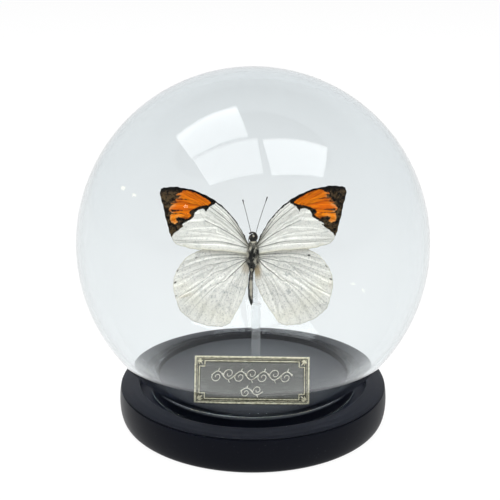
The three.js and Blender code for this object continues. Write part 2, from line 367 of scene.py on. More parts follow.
# ---- Mesh helpers ----
def mesh_object(name, vertices, faces=(), finishes=(), edges=(), scale=MM):
    mesh = bpy.data.meshes.new(name)
    mesh.from_pydata([tuple(float(c) * scale for c in v) for v in vertices], list(edges), list(faces))
    for finish in finishes:
        mesh.materials.append(FINISH[finish])
    mesh.update()
    piece = bpy.data.objects.new(name, mesh)
    scene.collection.objects.link(piece)
    return piece


def cleaned(piece, merge=1e-7):
    """Merges doubled points, drops empty faces and turns the faces outwards."""
    work = bmesh.new()
    work.from_mesh(piece.data)
    bmesh.ops.remove_doubles(work, verts=work.verts, dist=merge)
    bmesh.ops.dissolve_degenerate(work, edges=work.edges, dist=merge)
    bmesh.ops.recalc_face_normals(work, faces=work.faces)
    work.to_mesh(piece.data)
    work.free()
    piece.data.update()
    return piece


def smooth(piece, sharp_from=None):
    """Shades a piece smooth, apart from edges that bend by more than the given degrees."""
    piece.data.shade_smooth()
    if sharp_from:
        piece.data.set_sharp_from_angle(angle=math.radians(sharp_from))
    return piece


def join(name, parts):
    """Joins pieces into one mesh, keeping their materials and point readings."""
    bpy.ops.object.select_all(action="DESELECT")
    for part in parts:
        part.select_set(True)
    bpy.context.view_layer.objects.active = parts[0]
    bpy.ops.object.join()
    parts[0].name = parts[0].data.name = name
    return parts[0]


def apply_modifiers(piece):
    """Turns a piece with modifiers into a plain mesh."""
    graph = bpy.context.evaluated_depsgraph_get()
    mesh = bpy.data.meshes.new_from_object(piece.evaluated_get(graph))
    piece.modifiers.clear()
    piece.data = mesh
    return piece


def run_tree(piece, tree, values):
    """Runs a geometry tree on a piece with its inputs set by identifier, and keeps the plain mesh."""
    modifier = piece.modifiers.new(tree.name, "NODES")
    modifier.node_group = tree
    for item in tree.interface.items_tree:
        if item.item_type == "SOCKET" and item.in_out == "INPUT" and item.name in values:
            modifier[item.identifier] = values[item.name]
    return apply_modifiers(piece)


def carve(piece, *tools):
    """Cuts the tools out of a piece and removes them."""
    for tool in tools:
        cut = piece.modifiers.new(tool.name, "BOOLEAN")
        cut.operation, cut.solver, cut.object = "DIFFERENCE", "EXACT", tool
    apply_modifiers(piece)
    for tool in tools:
        bpy.data.objects.remove(tool)


def eased(piece, width):
    """A piece with its sharp edges rounded off."""
    ease = piece.modifiers.new("eased", "BEVEL")
    ease.width, ease.segments, ease.limit_method = width * MM, 3, "ANGLE"
    return smooth(apply_modifiers(piece))


def set_readings(piece, **readings):
    """Stores one number, or one vector, for each point of a mesh."""
    for name, values in readings.items():
        values = np.asarray(values, dtype=np.float32)
        kind, key = ("FLOAT_VECTOR", "vector") if values.ndim == 2 else ("FLOAT", "value")
        layer = piece.data.attributes.new(name, kind, "POINT")
        layer.data.foreach_set(key, values.ravel())


def points_of(piece):
    flat = np.empty(len(piece.data.vertices) * 3)
    piece.data.vertices.foreach_get("co", flat)
    return flat.reshape(-1, 3) / MM


def settle(piece, place):
    """Moves a mesh, written in millimetres of its own place, to its place in the frame."""
    matrix = place.copy()
    matrix.translation *= MM
    piece.data.transform(matrix)
    if matrix.determinant() < 0:
        piece.data.flip_normals()
    return piece


def dress(piece, slot, *nodes):
    """Puts a finished piece on the part, in place of the frame's nodes."""
    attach(piece, "root")
    if nodes:
        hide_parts(*nodes)


def smooth_path(points, steps=8):
    """A smooth run through the given points (Catmull-Rom), with the ends kept."""
    points = np.asarray(points, dtype=float)
    padded = np.vstack([2 * points[0] - points[1], points, 2 * points[-1] - points[-2]])
    rows = []
    for a, b, c, d in zip(padded, padded[1:], padded[2:], padded[3:]):
        for t in np.arange(steps) / steps:
            rows.append(0.5 * (2 * b + (c - a) * t + (2 * a - 5 * b + 4 * c - d) * t**2
                               + (3 * b - a - 3 * c + d) * t**3))
    return np.array(rows + [points[-1]])


def distance_to(points, path):
    """The shortest distance from each point to a run of straight steps."""
    best = np.full(len(points), np.inf)
    for a, b in zip(path[:-1], path[1:]):
        step = b - a
        share = np.clip((points - a) @ step / max(step @ step, 1e-12), 0, 1)
        best = np.minimum(best, np.linalg.norm(points - a - share[:, None] * step, axis=1))
    return best


def depth_inside(points, outline):
    """Signed distance to a closed outline, positive inside it."""
    closed = np.vstack([outline, outline[:1]])
    inside = np.zeros(len(points), dtype=bool)
    for (x0, z0), (x1, z1) in zip(closed[:-1], closed[1:]):
        if z0 != z1:
            spans = (z0 > points[:, 1]) != (z1 > points[:, 1])
            inside ^= spans & (points[:, 0] < x0 + (points[:, 1] - z0) * (x1 - x0) / (z1 - z0))
    return np.where(inside, 1, -1) * distance_to(points, closed)


def spot(points, centre, radii, turn):
    """1 at the middle of a soft oval, falling to 0 at its edge."""
    delta = points - np.array(centre)
    c, s = math.cos(turn), math.sin(turn)
    u = (delta[:, 0] * c + delta[:, 1] * s) / radii[0]
    v = (delta[:, 1] * c - delta[:, 0] * s) / radii[1]
    return np.clip(1.6 - 1.6 * np.hypot(u, v), 0, 1)


# ---- Geometry trees ----
def new_tree(name, sockets):
    """A tree with a geometry input, the given ones and a finish; returns it, its graph and its inputs."""
    tree = bpy.data.node_groups.new(name, "GeometryNodeTree")
    for socket_name, kind in (("Geometry", "Geometry"), *sockets, ("Finish", "Material")):
        tree.interface.new_socket(socket_name, in_out="INPUT", socket_type=f"NodeSocket{kind}")
    tree.interface.new_socket("Geometry", in_out="OUTPUT", socket_type="NodeSocketGeometry")
    graph = Graph(tree)
    return tree, graph, graph.add("NodeGroupInput").outputs


def end_tree(graph, geometry, finish):
    plain = graph.out("GeometryNodeRealizeInstances", {0: geometry})
    dressed = graph.out("GeometryNodeSetMaterial", {"Geometry": plain, "Material": finish})
    graph.add("NodeGroupOutput", {0: dressed})


def turned_tree():
    """Spins a profile, given as a row of points in the XZ plane, about Z."""
    tree, g, given = new_tree("turned_form", (("Profile Points", "Int"), ("Segments", "Int")))
    count = given["Profile Points"]
    sheet = g.out("GeometryNodeMeshGrid", {
        "Vertices X": g.plus(given["Segments"], 1.0), "Vertices Y": count,
    })
    index = g.out("GeometryNodeInputIndex")
    column = g.math("FLOOR", g.math("DIVIDE", g.plus(index, 0.5), count))
    row = g.minus(index, g.times(column, count))
    profile = g.split(g.out("GeometryNodeSampleIndex", {
        "Geometry": given["Geometry"], "Value": g.out("GeometryNodeInputPosition"), "Index": row,
    }, data_type="FLOAT_VECTOR", domain="POINT"))
    angle = g.times(g.math("DIVIDE", column, given["Segments"]), 2 * math.pi)
    spun = g.out("ShaderNodeCombineXYZ", {
        "X": g.times(profile["X"], g.math("COSINE", angle)),
        "Y": g.times(profile["X"], g.math("SINE", angle)),
        "Z": profile["Z"],
    })
    placed = g.out("GeometryNodeSetPosition", {"Geometry": sheet, "Position": spun})
    closed = g.out("GeometryNodeMergeByDistance", {"Geometry": placed, "Distance": 1e-6})
    end_tree(g, g.out("GeometryNodeSetShadeSmooth", {"Geometry": closed}), given["Finish"])
    return tree


def wire_tree():
    """Gives runs of edges a round body, as thick at each point as its thickness reading."""
    tree, g, given = new_tree("wire", (("Sides", "Int"),))
    body = g.out("GeometryNodeCurveToMesh", {
        "Curve": g.out("GeometryNodeMeshToCurve", {0: given["Geometry"]}),
        "Profile Curve": g.out("GeometryNodeCurvePrimitiveCircle", {
            "Resolution": given["Sides"], "Radius": 1.0,
        }),
        "Scale": g.out("GeometryNodeInputNamedAttribute", {"Name": "thickness"}, data_type="FLOAT"),
        "Fill Caps": True,
    })
    end_tree(g, g.out("GeometryNodeSetShadeSmooth", {"Geometry": body}), given["Finish"])
    return tree


def fur_tree():
    """Covers a skin with tapered hairs that lean along the body; the fur reading thins them out."""
    tree, g, given = new_tree("fur", (
        ("Density", "Float"), ("Length", "Float"), ("Thickness", "Float"), ("Lean", "Vector"),
        ("Seed", "Int"),
    ))
    share = g.out("GeometryNodeInputNamedAttribute", {"Name": "fur"}, data_type="FLOAT")
    scatter = g.add("GeometryNodeDistributePointsOnFaces", {
        "Mesh": given["Geometry"], "Density": g.times(given["Density"], share), "Seed": given["Seed"],
    })
    hair = g.out("GeometryNodeMeshCone", {
        "Vertices": 3, "Side Segments": 2, "Fill Segments": 1, "Radius Top": 0.0,
        "Radius Bottom": given["Thickness"], "Depth": given["Length"],
    })
    spread = g.out("FunctionNodeRandomValue", {
        0: (-0.45, -0.45, -0.45), 1: (0.45, 0.45, 0.45), "Seed": given["Seed"],
    }, data_type="FLOAT_VECTOR")
    leaning = g.out("ShaderNodeVectorMath", {0: scatter.outputs["Normal"], 1: given["Lean"]})
    heading = g.out("ShaderNodeVectorMath", {0: leaning, 1: spread})
    size = g.add("FunctionNodeRandomValue", {2: 0.55, 3: 1.25, "Seed": given["Seed"]}, data_type="FLOAT")
    coat = g.out("GeometryNodeInstanceOnPoints", {
        "Points": scatter.outputs["Points"],
        "Instance": hair,
        "Rotation": g.out("FunctionNodeAlignRotationToVector", {"Vector": heading}, axis="Z"),
        "Scale": size.outputs[1],
    })
    end_tree(g, coat, given["Finish"])
    return tree


TURNED = turned_tree()
WIRE = wire_tree()
FUR = fur_tree()


def turned(name, profile, segments, finish):
    piece = mesh_object(name, [(r, 0.0, z) for r, z in profile], finishes=[finish])
    values = {"Profile Points": len(profile), "Segments": segments, "Finish": FINISH[finish]}
    return cleaned(run_tree(piece, TURNED, values), 1e-6)


def wires(name, runs, finish, sides=6):
    """Round wires through smooth runs of points; each run is (points, start radius, end radius)."""
    vertices, edges, thickness = [], [], []
    for points, first, last in runs:
        path = smooth_path(points, 6)
        start = len(vertices)
        vertices.extend(path)
        edges.extend((start + i, start + i + 1) for i in range(len(path) - 1))
        thickness.extend(np.linspace(first, last, len(path)) * MM)
    piece = mesh_object(name, vertices, finishes=[finish], edges=edges)
    set_readings(piece, thickness=thickness)
    return run_tree(piece, WIRE, {"Sides": sides, "Finish": FINISH[finish]})


# ---- Turned base and blown globe ----
def rounded(corners, steps=6, support=0.15):
    """A profile through corners given as (radius, height, fillet), with each corner rounded off."""
    rows = [corners[0][:2]]
    for before, corner, after in zip(corners, corners[1:], corners[2:]):
        here, fillet = np.array(corner[:2]), corner[2]
        if fillet == 0:
            rows.append(tuple(here))
            continue
        back, ahead = np.array(before[:2]) - here, np.array(after[:2]) - here
        back_length, ahead_length = np.linalg.norm(back), np.linalg.norm(ahead)
        back, ahead = back / back_length, ahead / ahead_length
        if back_length > fillet + support:
            rows.append(tuple(here + back * (fillet + support)))
        for t in np.linspace(0, 1, steps + 1):
            rows.append(tuple(here + back * fillet * (1 - t) ** 2 + ahead * fillet * t**2))
        if ahead_length > fillet + support:
            rows.append(tuple(here + ahead * (fillet + support)))
    return rows + [corners[-1][:2]]


def bezier(a, b, c, d, steps):
    a, b, c, d = (np.array(p, dtype=float) for p in (a, b, c, d))
    return [tuple(a * (1 - t) ** 3 + 3 * b * t * (1 - t) ** 2 + 3 * c * t**2 * (1 - t) + d * t**3)
            for t in np.linspace(0, 1, steps)]


def build_base():
    side = bezier((57.5, 0.5), (59.4, 2.2), (59.7, 9.5), (58.6, 14.7), 26)
    base = turned("turned_base", rounded([
        (0, 0, 0), (56.9, 0, 0.3), *((r, z, 0) for r, z in side),
        (58.05, 14.85, 0.08), (58.05, 15.05, 0.08), (58.3, BASE_HEIGHT - 1.15, 0.12),
        (56.6, BASE_HEIGHT - 0.6, 0.3), (54.0, BASE_HEIGHT - 0.18, 0.6),
        (GROOVE_OUTER_RADIUS + 0.1, BASE_HEIGHT, 0.5), (GROOVE_OUTER_RADIUS, GROOVE_FLOOR_Z, 0.3),
        (PLATFORM_RADIUS, GROOVE_FLOOR_Z, 0.3), (PLATFORM_RADIUS, BASE_HEIGHT, 0.45), (0, BASE_HEIGHT, 0),
    ]), 192, "black_lacquer")
    above = BASE_HEIGHT + 1.4
    hole = [(0, SOCKET_FLOOR_Z), (SOCKET_RADIUS, SOCKET_FLOOR_Z), (SOCKET_RADIUS, above), (0, above)]
    carve(base, settle(turned("rod_socket", hole, 48, "black_lacquer"), moved(ROD_X, 0, 0)))
    smooth(base, sharp_from=50)
    x, y, z = points_of(base).T
    radius = np.hypot(x, y)
    groove_middle = (PLATFORM_RADIUS + GROOVE_OUTER_RADIUS) / 2
    # Painted light lies thinly on the ring outside the groove and strongly on the middle of the platform,
    # fading outwards towards the platform's rim.
    ring = (z > BASE_HEIGHT - 1.3) * (radius > groove_middle) * 0.035
    platform = (z > BASE_HEIGHT - 0.2) * (radius < groove_middle) * np.interp(radius, [31, 41.5], [1.0, 0.15])
    set_readings(base, shelf=ring + platform)
    dress(base, "black_lacquer", "wooden_base")


def build_globe():
    def meridian(radius, neck):
        """From the neck's foot, round a small fillet where it meets the ball, up to the pole."""
        blend = 0.25
        join_z = GLOBE_CENTRE_Z - math.sqrt(radius**2 - neck**2)
        start = math.acos((join_z - GLOBE_CENTRE_Z) / radius) - blend / radius
        arc = [(radius * math.sin(a), GLOBE_CENTRE_Z + radius * math.cos(a))
               for a in np.linspace(start, 0, 96)]
        foot, corner = np.array((neck, join_z - blend)), np.array((neck, join_z))
        fillet = bezier(foot, (foot + 2 * corner) / 3, (arc[0] + 2 * corner) / 3, arc[0], 13)
        return fillet[:-1] + arc[:-1] + [(0.0, GLOBE_CENTRE_Z + radius)]

    inner = meridian(GLOBE_RADIUS - GLASS_WALL, NECK_RADIUS - NECK_WALL)
    outer = meridian(GLOBE_RADIUS, NECK_RADIUS)
    lip = [(NECK_RADIUS + NECK_WALL / 2 * (math.cos(a) - 1), NECK_FOOT_Z + 1 + math.sin(a))
           for a in np.linspace(-math.pi, 0, 13)]
    globe = turned("glass_globe_shell", inner[::-1] + lip + outer, 192, "clear_glass")
    globe.visible_shadow = False  # so that the soft panels light what stands inside it
    dress(globe, "clear_glass", "glass_globe")


# ---- Rod ----
def build_rod():
    rod = turned("clear_rod", rounded([
        (0, ROD_FOOT_Z, 0), (ROD_RADIUS, ROD_FOOT_Z, 0.15), (ROD_RADIUS, ROD_TOP_Z, 0.15), (0, ROD_TOP_Z, 0),
    ], 4), 64, "clear_acrylic")
    reach = 2 * ROD_RADIUS

    def cutter(name, left, back):
        heights = (ROD_STEP_Z, ROD_TOP_Z + 1)
        corners = [(x, y, z) for x in (left, reach) for y in (-reach, back) for z in heights]
        faces = [(0, 1, 3, 2), (4, 6, 7, 5), (0, 4, 5, 1), (2, 3, 7, 6), (0, 2, 6, 4), (1, 5, 7, 3)]
        return cleaned(mesh_object(name, corners, faces, ["clear_acrylic"]))

    carve(rod, cutter("front_cut", -reach, 0), cutter("side_cut", TONGUE_RIGHT, reach))
    rod.data.materials.append(FINISH["frosted_acrylic"])
    for face in rod.data.polygons:
        if face.normal.z > 0.9 and abs(face.center.z - ROD_STEP_Z * MM) < 0.1 * MM:
            face.material_index = len(rod.data.materials) - 1
    dress(settle(smooth(rod, sharp_from=30), moved(ROD_X, 0, 0)), "clear_acrylic", "display_rod")


# ---- Plaque ----
def slab(name, outline, hole, high, finish, bevel):
    """A flat band between an outline and a hole with as many corners, with its edges eased."""
    count = len(outline)
    rows = [(x, y, z) for z in (0.0, high) for ring in (outline, hole) for x, y in ring]
    faces = []
    for i in range(count):
        j = (i + 1) % count
        faces += [
            (i, j, count + j, count + i),
            (2 * count + i, 3 * count + i, 3 * count + j, 2 * count + j),
            (i, 2 * count + i, 2 * count + j, j),
            (count + i, count + j, 3 * count + j, 3 * count + i),
        ]
    return eased(cleaned(mesh_object(name, rows, faces, [finish])), bevel)


def notched(inset, n):
    """The outline of the plaque's face, moved in by inset, with square notches of side n."""
    x, low, high = PLAQUE_WIDTH / 2 - inset, inset, PLAQUE_HEIGHT - inset
    return [
        (-x, low + n), (-x + n, low + n), (-x + n, low), (x - n, low), (x - n, low + n), (x, low + n),
        (x, high - n), (x - n, high - n), (x - n, high), (-x + n, high), (-x + n, high - n), (-x, high - n),
    ]


def plain_frame(inset):
    x, low, high = PLAQUE_WIDTH / 2 - inset, inset, PLAQUE_HEIGHT - inset
    return [(-x, low), (x, low), (x, high), (-x, high)]


def leaf(length, width, height, steps=7):
    """A drop-shaped, domed leaf lying on the face, its stalk at the origin and its tip along +X."""
    vertices, faces = [(0.0, 0.0, 0.0)], []
    for i in range(1, steps):
        t = i / steps
        half = width / 2 * math.sin(math.pi * t**0.75)
        for y, z in ((-half, 0.0), (-half / 2, 0.8), (0.0, 1.0), (half / 2, 0.8), (half, 0.0)):
            vertices.append((length * t, y, z * height * math.sin(math.pi * t) ** 0.5))
    vertices.append((length, 0.0, 0.0))
    tip = len(vertices) - 1
    for i in range(steps - 2):
        a, b = 1 + 5 * i, 6 + 5 * i
        faces += [(a + j, b + j, b + j + 1, a + j + 1) for j in range(4)] + [(a + 4, b + 4, b, a)]
    faces += [(0, 1 + j, 2 + j) for j in range(4)] + [(0, 5, 1)]
    last = tip - 5
    faces += [(tip, last + j + 1, last + j) for j in range(4)] + [(tip, last, last + 4)]
    return vertices, faces


def leaves(name, places, finish):
    """Leaves at (x, y, heading, length, width) on the plaque's face."""
    vertices, faces = [], []
    for x, y, heading, length, width in places:
        rows, quads = leaf(length, width, 0.28)
        c, s = math.cos(heading), math.sin(heading)
        start = len(vertices)
        vertices += [(x + u * c - v * s, y + u * s + v * c, w) for u, v, w in rows]
        faces += [tuple(start + i for i in quad) for quad in quads]
    return smooth(cleaned(mesh_object(name, vertices, faces, [finish])))


def build_plate():
    """The leaning acrylic plate, as its side section drawn out to the full width."""
    lean = math.radians(PLAQUE_LEAN)
    rise, run = PLAQUE_HEIGHT * math.cos(lean), PLAQUE_HEIGHT * math.sin(lean)
    drop, across = PLAQUE_THICKNESS * math.sin(lean), PLAQUE_THICKNESS * math.cos(lean)
    section = [(0, 0), (PLAQUE_THICKNESS / math.cos(lean), 0), (run + across, rise - drop), (run, rise)]
    rows = [(x, y, z) for x in (-PLAQUE_WIDTH / 2, PLAQUE_WIDTH / 2) for y, z in section]
    faces = [(0, 1, 2, 3), (7, 6, 5, 4)] + [(i, 4 + i, 4 + (i + 1) % 4, (i + 1) % 4) for i in range(4)]
    plate = eased(cleaned(mesh_object("plaque_acrylic_plate", rows, faces, ["smoked_acrylic"])), 0.25)
    dress(settle(plate, PLAQUE_PLACE), "smoked_acrylic", "plaque_plate")


def build_border():
    """Two raised bands and a fine line on a dark ground, with a leaf fan in each corner."""
    fans = []
    corner = 1.75
    for side_x in (-1, 1):
        for side_y in (0, 1):
            x = side_x * (PLAQUE_WIDTH / 2 - corner)
            y = corner + side_y * (PLAQUE_HEIGHT - 2 * corner)
            inward = math.atan2(1 - 2 * side_y, -side_x)
            for turn, length in ((0.0, 3.2), (-0.55, 2.5), (0.55, 2.5), (-1.1, 1.7), (1.1, 1.7)):
                fans.append((x, y, inward + turn, length * 0.9, 0.8))
    border = join("plaque_gold_border", [
        slab("ground", plain_frame(0.15), plain_frame(2.75), 0.08, "dark_patina", 0.02),
        slab("outer_band", plain_frame(0.1), plain_frame(0.85), 0.42, "old_gold", 0.12),
        slab("middle_line", plain_frame(1.25), plain_frame(1.4), 0.16, "old_gold", 0.04),
        slab("inner_line", notched(1.95, 2.3), notched(2.35, 2.3), 0.32, "old_gold", 0.1),
        leaves("corner_fans", fans, "old_gold"),
    ])
    dress(settle(border, PLAQUE_FACE), "old_gold", "plaque_border")


def build_scroll(name, width, height, waves, centre):
    """A slanted flowing stem with a curled tendril and two leaves in every wave."""
    wire, slant = 0.22, 0.18
    amplitude = height * 0.27
    step = width / waves

    def run(points):
        return [(x + slant * (y - centre), y, wire) for x, y in points]

    stem = [(-width / 2 + width * i / (waves * 6), centre + amplitude * math.sin(math.pi * i / 6))
            for i in range(waves * 6 + 1)]
    runs = [(run(stem), wire, wire)]
    places = []
    for i in range(waves):
        side = 1 if i % 2 == 0 else -1
        middle = -width / 2 + step * (i + 0.5)
        curl = [(middle - step * 0.42, centre + side * amplitude * 0.3)]
        for k in range(14):
            angle, radius = side * math.pi * (1.0 + 0.16 * k), height * 0.33 * (1 - k / 17)
            curl.append((middle - step * 0.02 + radius * math.cos(angle),
                         centre - side * height * 0.1 + radius * math.sin(angle)))
        runs.append((run(curl), wire * 0.9, wire * 0.7))
        lean = slant * side * amplitude
        places += [
            (middle + lean, centre + side * amplitude, side * 1.1, height * 0.26, 0.55),
            (middle + step * 0.3 + lean, centre + side * amplitude * 0.6, -side * 0.5, height * 0.2, 0.5),
        ]
    parts = [wires(name, runs, "worn_silver", 8), leaves("leaves", places, "worn_silver")]
    return settle(join(name, parts), PLAQUE_FACE)


def build_plaque():
    build_plate()
    build_border()
    dress(build_scroll("plaque_long_scroll", 34.0, 6.4, 7, 12.0), "worn_silver", "plaque_scroll_long")
    dress(build_scroll("plaque_short_scroll", 9.4, 5.2, 2, 5.4), "worn_silver", "plaque_scroll_short")


# ---- Butterfly wings: x runs out from the body, z from the tail towards the head ----
# A vein is (level, strength, points); levels count across the wing, so streaks run between veins.
FOREWING = {
    "edge": [
        (1.7, 3.4), (3.2, 6.6), (5.5, 11.2), (9.6, 17), (14.4, 21.8), (20.4, 25.6), (26, 27.8), (32, 29),
        (37.1, 29.0), (39.1, 27.4), (38.3, 22.6), (37.2, 17.4), (36.1, 12.2), (34.9, 8), (33.8, 5.6),
        (31.5, 3.8), (25, 2.1), (18, 1.4), (10, 0.5), (1.7, -0.8),
    ],
    "veins": [
        (0.0, 0.8, [(2.2, 4.2), (9.2, 14.6), (16, 21.3), (21.5, 25.7)]),
        (1.4, 1.0, [(2.2, 3.8), (9, 12.4), (16, 18.8), (21.2, 21.9)]),
        (0.6, 0.5, [(13.5, 16.8), (22, 24), (28, 28)]),
        (1.1, 0.5, [(19, 20.7), (27, 26), (33, 28.8)]),
        (1.7, 0.5, [(21.2, 21.9), (29.5, 25), (37.6, 27.9)]),
        (1.9, 0.4, [(29.5, 25), (34, 25.3), (38.6, 24.6)]),
        (2.2, 0.6, [(21.7, 21.3), (30, 22.4), (38.1, 21.6)]),
        (2.9, 0.7, [(22.2, 19.4), (30, 19.5), (37.6, 18.6)]),
        (3.8, 0.6, [(22, 17.3), (30, 16.4), (36.8, 15)]),
        (2.9, 0.0, [(2.2, 3.3), (12, 12.6), (22.2, 19.4)]),
        (3.8, 0.0, [(2.2, 3.0), (12, 11.2), (22, 17.3)]),
        (None, 0.5, [(21.2, 21.9), (22.2, 19.4), (22, 17.3), (20.3, 14.4)]),
        (5.0, 0.9, [(2.2, 2.6), (8, 7.4), (14.3, 11.2), (20.3, 14.4)]),
        (5.0, 0.35, [(20.3, 14.4), (29, 12.6), (36, 11.3)]),
        (6.0, 0.4, [(14.3, 11.2), (24.5, 8.8), (34.9, 7.6)]),
        (6.0, 0.0, [(2.2, 2.2), (10, 6.4), (24.5, 8.8)]),
        (7.0, 0.75, [(2.2, 1.9), (12, 4.7), (22, 5.4), (33, 5.0)]),
        (8.0, 0.2, [(2.2, 0.8), (12, 2.4), (22, 3.0), (32, 3.8)]),
    ],
    "creases": [
        (0.10, [(4, 5.4), (12, 12), (19, 17.8), (27, 20.5)]),
        (0.10, [(3.4, 3), (10, 6.6), (18, 8.8), (30, 10.2)]),
        (0.14, [(6, 2.6), (14, 4.0), (24, 4.6), (33, 5.8)]),
    ],
    "layer": -0.45,
}
HINDWING = {
    "edge": [
        (1.7, -0.2), (6, 1.0), (11, 1.5), (18, 2.1), (24, 1.2), (29, -2.2), (32.4, -7), (34, -12),
        (33.9, -16), (32.9, -21), (31.2, -25.6), (27.3, -29.4), (22.5, -32.1), (17, -33.4), (12.5, -33.2),
        (10, -31.2), (7.3, -26.5), (4.6, -20.5), (3.0, -14.6), (2.3, -10), (1.7, -6),
    ],
    "veins": [
        (0.0, 0.45, [(2.2, -1.2), (8.3, 0.0), (15.3, 1.0), (21, 1.5)]),
        (1.0, 0.75, [(2.4, -1.5), (10.6, -0.7), (18.8, -0.7), (24, -1.6), (29.4, -3.0)]),
        (1.8, 0.7, [(2.6, -2.2), (10.6, -2.2), (17.6, -2.2), (24.5, -3.9), (31.6, -6.6)]),
        (2.8, 0.8, [
            (2.6, -2.6), (8.2, -3.4), (12, -4.2), (18.8, -4.9), (22.3, -6.2), (28.2, -8.5), (33.4, -10.6),
        ]),
        (3.8, 0.4, [(17.2, -6.6), (22, -9.2), (28, -12.9), (33.7, -16.2)]),
        (4.8, 0.75, [
            (2.6, -3.2), (8.2, -5.5), (11.9, -7.3), (16.2, -8.6), (21.6, -12.4), (27, -16.4), (32.2, -21.8),
        ]),
        (6.2, 0.95, [
            (2.6, -3.6), (5.8, -6.7), (9.3, -10), (12.1, -12.5), (15.2, -13.8), (21.5, -19.4), (28.4, -27.4),
        ]),
        (7.4, 0.3, [(12.1, -12.5), (17, -19.5), (22, -31.8)]),
        (7.4, 0.0, [(2.7, -3.9), (7.0, -9.4), (12.1, -15.5), (16, -21)]),
        (8.6, 0.4, [(7, -8), (9.8, -14.5), (13, -23), (16, -32.8)]),
        (9.8, 0.45, [(2.8, -4.2), (6.4, -12), (9, -20), (11.8, -31.6)]),
        (11.0, 0.4, [(2.6, -4.6), (4.4, -11), (6, -17.5), (8.4, -27.2)]),
        (None, 0.25, [(17.2, -6.6), (17, -9.1), (15.2, -13.8)]),
    ],
    "creases": [
        (0.20, [(4.5, -2.4), (12.2, -3.9), (16, -6.2), (21.8, -12.5), (26.1, -15.6), (32.6, -19)]),
        (0.20, [(3.6, -3.4), (8.8, -8.2), (13.1, -12.4), (18.8, -15.5)]),
        (0.14, [(7, -12.4), (7.9, -15.6)]),
        (0.14, [(5.6, -12.6), (7.1, -16.2)]),
        (0.10, [(10, -1.4), (20, -1.5), (29, -4.4)]),
        (0.12, [(14, -10.5), (22, -15), (31.5, -23.5)]),
    ],
    "layer": 0.45,
}
# The dark tip, drawn a little past the wing's own edge, and the orange blaze inside it.
DARK_TIP = np.array([
    (16.2, 21.6), (17.2, 21.1), (18.6, 20.2), (19.3, 19.0), (19.9, 18.1), (20.5, 19.2), (22.4, 19.4),
    (24.0, 18.6), (24.8, 17.4), (25.2, 16.0), (26.6, 14.9), (28.7, 13.8), (30.0, 13.2), (30.4, 12.8),
    (29.0, 12.6), (30.7, 11.3), (32.3, 10.1), (33.5, 9.2), (34.6, 7.6), (38, 6), (45, 6), (45, 35),
    (24, 35), (17, 26), (15.2, 23.2),
])
BLAZE = np.array([
    (17.6, 22.1), (18.6, 23.2), (20.4, 24.3), (22.3, 25.4), (24.2, 26.4), (26.1, 27.2), (28, 27.6),
    (29.6, 27.4), (30.2, 26.7), (32.0, 26.3), (32.5, 25.5), (31.1, 25.2), (31.3, 24.5), (33.0, 24.0),
    (32.4, 23.3), (34.7, 22.9), (34.9, 22.2), (33.5, 21.7), (34.9, 20.9), (35.6, 19.8), (35.3, 18.8),
    (34.4, 18.3), (34.9, 17.3), (35.3, 15.8), (34.8, 14.1), (33, 13.3), (31.9, 14.1), (32.1, 15.7),
    (31.6, 16.2), (29.2, 15.7), (28.7, 15.0), (26.9, 15.9), (26.0, 16.8), (27.1, 17.9), (26.2, 19.0),
    (24.6, 19.8), (22.5, 20.5), (20.4, 20.9), (18.9, 21.1),
])
# Dark wedges that run from the rim into the blaze.
WEDGES = [np.array(wedge) for wedge in (
    [(34.2, 26.0), (30.0, 25.3), (33.8, 25.0)], [(35.4, 23.3), (31.8, 22.6), (35.2, 22.2)],
    [(34.6, 19.5), (29.8, 19.0), (34.4, 18.7)], [(36.2, 18.0), (28.0, 17.6), (36.2, 17.6)],
    [(32.6, 15.9), (28.4, 15.3), (32.4, 14.6)], [(33.0, 24.4), (27.0, 23.5), (33.0, 24.0)],
)]
# How each wing is set, as (stretch to the side, turn in degrees, shift of the inner edge).
WING_SET = {
    "forewing_left": (0.99, 1.5, 0.0), "forewing_right": (1.012, 0.0, 0.0),
    "hindwing_left": (1.008, 0.0, -0.5), "hindwing_right": (1.005, 0.0, -1.9),
}
WING_RAISE = 5  # degrees
MEMBRANE = 0.12
VEIN_RISE = 0.10
PLEAT_HEIGHT = 0.055
RAGGEDNESS = 0.09
EDGE_STEPS = 10  # points of the edge between two of the given ones
COLUMNS = 216  # points of the membrane's grid, out from the body
ROWS = 136  # and across the wing
OUTSIDE = -9.0  # the depth reading of a pattern that a wing doesn't have


